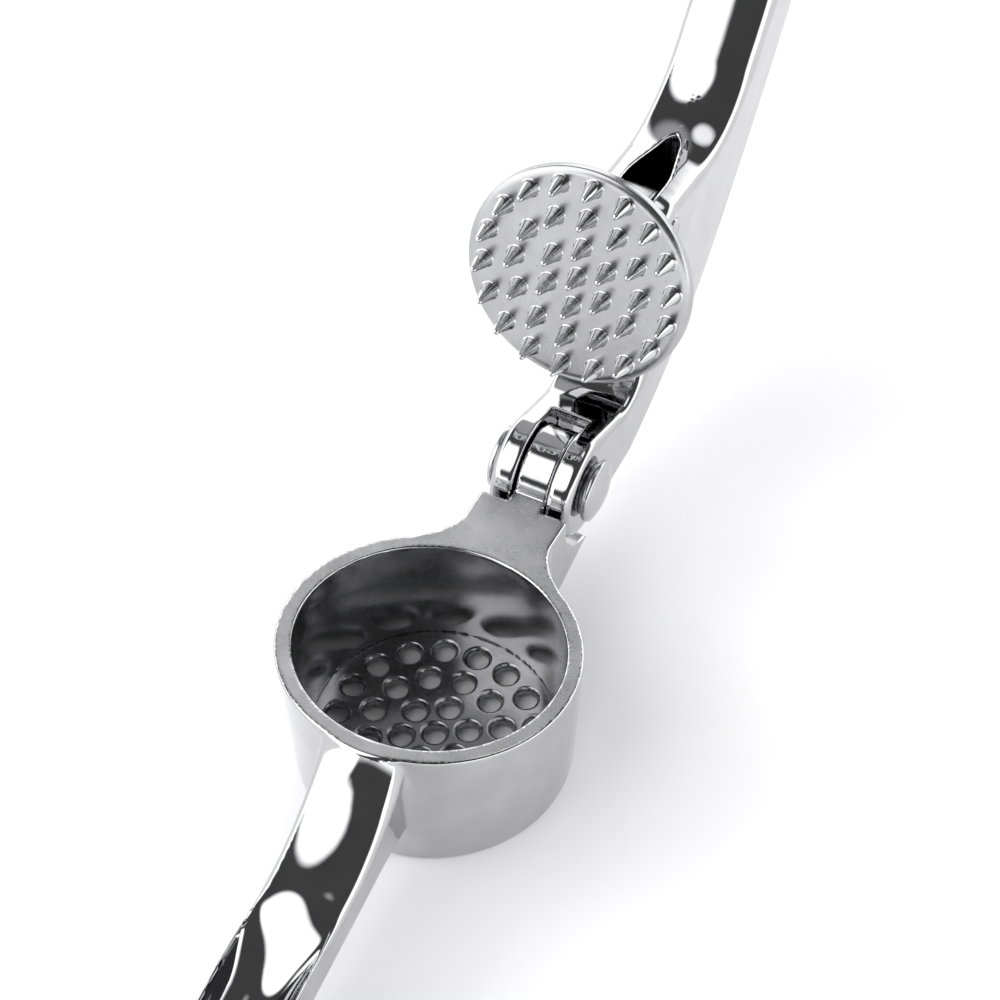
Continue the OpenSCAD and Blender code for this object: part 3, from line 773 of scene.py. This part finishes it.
def metal(name, dark, bright, polish, dull, waves=0.0, wave_size=3.0, pits=0.0, pit_size=0.5, grain=None):
    """Bright metal whose colour and roughness vary between two states.

    Slow waves and fine pits, with heights and sizes in millimetres, shape its surface.
    """
    material = bpy.data.materials.new(name)
    material.use_nodes = True
    n = Nodes(material.node_tree)
    shader = material.node_tree.nodes["Principled BSDF"]
    shader.inputs["Metallic"].default_value = 1.0
    cloud = n.noise(*CLOUDS)
    colour = n.ramp(cloud, (NOISE_RANGE[0], dark), (NOISE_RANGE[1], bright))
    n.link(colour, shader.inputs["Base Color"])
    fine = n.noise(*GRAIN, grain)
    mixed = n.math("ADD", n.math("MULTIPLY", cloud, 0.5), n.math("MULTIPLY", fine, 0.5))
    n.link(n.spread(mixed, *NOISE_RANGE, polish, dull), shader.inputs["Roughness"])
    swell = n.math("MULTIPLY", n.noise(1 / MM / wave_size, *WAVES), waves)
    height = n.math("ADD", swell, n.math("MULTIPLY", n.noise(1 / MM / pit_size, *PITS, grain), pits))
    bump = n.add("Bump")
    bump.inputs["Strength"].default_value = 1.0
    bump.inputs["Distance"].default_value = MM
    n.link(height, bump.inputs["Height"])
    n.link(bump.outputs[0], shader.inputs["Normal"])
    return material


# ---------------------------------------------------------------- stage

# Camera: angles in degrees, the rest in metres except for lens and sensor, which are in millimetres
CAMERA_AZIMUTH, CAMERA_ELEVATION, CAMERA_ROLL = 25.657, 53.219, -0.431
CAMERA_DISTANCE, CAMERA_RIGHT, CAMERA_UP = 0.68274, 0.00778, 0.02767
CAMERA_TARGET = (0, 0, 0.002)
LENS, SENSOR = 206.8, 36


def camera():
    """The camera: aimed past the sieve, rolled and shifted sideways and up."""
    azimuth, elevation = math.radians(CAMERA_AZIMUTH), math.radians(CAMERA_ELEVATION)
    roll = math.radians(CAMERA_ROLL)
    level = math.cos(elevation)
    back = Vector((math.sin(azimuth) * level, -math.cos(azimuth) * level, math.sin(elevation)))
    right = Vector((math.cos(azimuth), math.sin(azimuth), 0))
    up = back.cross(right)
    side = math.cos(roll) * right + math.sin(roll) * up
    top = math.cos(roll) * up - math.sin(roll) * right
    data = bpy.data.cameras.new("camera")
    data.sensor_width = SENSOR
    data.lens = LENS
    data.clip_start, data.clip_end = 0.01, 100
    cam = bpy.data.objects.new("camera", data)
    bpy.context.scene.collection.objects.link(cam)
    place = CAMERA_DISTANCE * back + CAMERA_RIGHT * side + CAMERA_UP * top + Vector(CAMERA_TARGET)
    cam.matrix_world = Matrix.Translation(place) @ Matrix((side, top, back)).transposed().to_4x4()
    bpy.context.scene.camera = cam


FLOOR_HALF, FLOOR_COLOUR = 4.0, (0.9, 0.9, 0.91, 1)


def floor():
    """White matt floor under the tool."""
    mesh = bpy.data.meshes.new("floor")
    low = cad_box[0][2]
    corners = [(-1, -1), (1, -1), (1, 1), (-1, 1)]
    mesh.from_pydata([(FLOOR_HALF * x, FLOOR_HALF * y, low) for x, y in corners], [], [(0, 1, 2, 3)])
    plane = bpy.data.objects.new("floor", mesh)
    bpy.context.scene.collection.objects.link(plane)
    material = bpy.data.materials.new("floor")
    material.use_nodes = True
    shader = material.node_tree.nodes["Principled BSDF"]
    shader.inputs["Base Color"].default_value = FLOOR_COLOUR
    shader.inputs["Roughness"].default_value = 1.0
    shader.inputs["Specular IOR Level"].default_value = 0.0
    mesh.materials.append(material)


def direction(azimuth, elevation):
    """Unit vector; azimuth counts from -Y, where the viewer is, towards +X."""
    a, e = math.radians(azimuth), math.radians(elevation)
    return math.sin(a) * math.cos(e), -math.cos(a) * math.cos(e), math.sin(e)


# Soft boxes of the studio: azimuth, elevation, half width in degrees, edge in degrees, brightness
SCREENS = [
    (-48, 46, 26, 8, 2.1),
    (155, 60, 6, 9, 1.6),
    (-158, 38, 12, 14, 0.45),
]
# Horizon band: heights, as parts of 1, between which it fades out, its brightness, and the dark room's
BAND_TOP, BAND_BRIGHTNESS, ROOM_BRIGHTNESS = (0.30, 0.46), 2.1, 0.085
# The band is lower in front: by how much, and where that sets in towards the front, the left and the right
BAND_DROP, FRONT_START = 0.24, (0.45, 0.65)
FRONT_LEFT, FRONT_RIGHT = (-0.36, -0.2), (0.56, 0.74)


def studio():
    """A bright band round the horizon, a dark room above it and a few soft boxes."""
    world = bpy.data.worlds.new("studio")
    bpy.context.scene.world = world
    world.use_nodes = True
    n = Nodes(world.node_tree)
    way = n.add("TexCoord").outputs["Generated"]
    split = n.add("SeparateXYZ")
    n.link(way, split.inputs[0])
    x, y, z = split.outputs
    front = n.spread(n.math("MULTIPLY", y, -1.0), *FRONT_START, 0.0, 1.0)
    front = n.math("MULTIPLY", front, n.spread(x, *FRONT_LEFT, 0.0, 1.0))
    front = n.math("MULTIPLY", front, n.spread(x, *FRONT_RIGHT, 1.0, 0.0))
    top = n.math("ADD", z, n.math("MULTIPLY", front, BAND_DROP))
    band = n.spread(top, *BAND_TOP, BAND_BRIGHTNESS, 0.0)
    total = n.math("ADD", band, ROOM_BRIGHTNESS)
    for azimuth, elevation, half, edge, brightness in SCREENS:
        toward = n.add("VectorMath", operation="DOT_PRODUCT")
        n.link(way, toward.inputs[0])
        toward.inputs[1].default_value = direction(azimuth, elevation)
        outer, inner = math.cos(math.radians(half + edge)), math.cos(math.radians(half))
        glow = n.spread(toward.outputs["Value"], outer, inner, 0.0, brightness)
        total = n.math("ADD", total, glow)
    background = world.node_tree.nodes["Background"]
    n.link(total, background.inputs["Strength"])
    background.inputs["Color"].default_value = (1.0, 1.0, 1.0, 1)


# Fill lights: azimuths from +X, distance from the axis, height and size in metres, power in watts
FILL_AZIMUTHS, FILL_REACH, FILL_HEIGHT = (20, 110, 200, 290), 3.0, 1.7
FILL_SIZE, FILL_POWER = 2.0, 38


def fill_lights():
    """Large soft lights round the stage for the floor only, low enough to stay out of the cup."""
    for number, azimuth in enumerate(FILL_AZIMUTHS):
        data = bpy.data.lights.new(f"fill_{number}", "AREA")
        data.shape = "DISK"
        data.size = FILL_SIZE
        data.energy = FILL_POWER
        lamp = bpy.data.objects.new(f"fill_{number}", data)
        bpy.context.scene.collection.objects.link(lamp)
        turn = math.radians(azimuth)
        lamp.location = (FILL_REACH * math.cos(turn), FILL_REACH * math.sin(turn), FILL_HEIGHT)
        lamp.rotation_euler = Vector(lamp.location).to_track_quat("Z", "Y").to_euler()
        lamp.visible_glossy = False
        lamp.visible_camera = False


# ---------------------------------------------------------------- the object

chrome = metal("chrome", (0.49, 0.49, 0.505), (0.54, 0.54, 0.555), polish=0.03, dull=0.07,
               waves=0.03, wave_size=3.5, pits=0.0006, pit_size=0.35)
bore_chrome = metal("bore_chrome", (0.46, 0.46, 0.47), (0.54, 0.54, 0.55), polish=0.12, dull=0.2,
                    waves=0.02, wave_size=4.0, pits=0.0008, pit_size=0.4)
ground_chrome = metal("ground_chrome", (0.6, 0.6, 0.61), (0.72, 0.72, 0.73), polish=0.24, dull=0.36,
                      waves=0.012, wave_size=2.0, pits=0.002, pit_size=0.4)
disc_chrome = metal("disc_chrome", (0.42, 0.42, 0.43), (0.48, 0.48, 0.49), polish=0.20, dull=0.28,
                    waves=0.004, wave_size=4.0, pits=0.0008, pit_size=0.3)
stud_chrome = metal("stud_chrome", (0.55, 0.55, 0.56), (0.62, 0.62, 0.63), polish=0.05, dull=0.1,
                    waves=0.02, wave_size=0.8, pits=0.0008, pit_size=0.3)
head_chrome = metal("head_chrome", (0.5, 0.5, 0.51), (0.56, 0.56, 0.57), polish=0.16, dull=0.26,
                    waves=0.006, wave_size=2.0, pits=0.0012, pit_size=0.3)
# Collars: steel, whose dark colour is partly painted shade standing in for the shade in the gaps between the
# rivet heads and the ears
collar_steel_painted_shade = metal("collar_steel_painted_shade", (0.26, 0.26, 0.27), (0.38, 0.38, 0.39), polish=0.25, dull=0.4,
                     pits=0.002, pit_size=0.3)
pin_steel = metal("pin_steel", (0.45, 0.45, 0.46), (0.55, 0.55, 0.56), polish=0.18, dull=0.3,
                  pits=0.002, pit_size=0.4, grain=(8, 1, 1))
sieve_steel = metal("sieve_steel", (0.26, 0.26, 0.27), (0.38, 0.38, 0.39), polish=0.14, dull=0.28,
                    waves=0.006, wave_size=2.5, pits=0.0015, pit_size=0.3)

camera()
floor()
studio()
fill_lights()
mesh = skinned("lower_handle_casting", lower_handle, *box_mm("lower_handle"), LOWER_STEP)
new_object("lower_handle_casting", mesh, "frame", chrome, ["lower_handle"])
lower_finishes(mesh, bore_chrome, ground_chrome)
mesh = skinned("upper_handle_casting", upper_handle, *box_mm("upper_handle"), UPPER_STEP)
new_object("upper_handle_casting", mesh, "lever", chrome, ["upper_handle"])
mesh = skinned("sieve", sieve, *box_mm("sieve_plate"), SIEVE_STEP)
new_object("sieve", mesh, "frame", sieve_steel, ["sieve_plate"])
make_plunger(disc_chrome, stud_chrome)
make_hinge(head_chrome, collar_steel_painted_shade, pin_steel)
bpy.context.scene.view_settings.view_transform = "Standard"
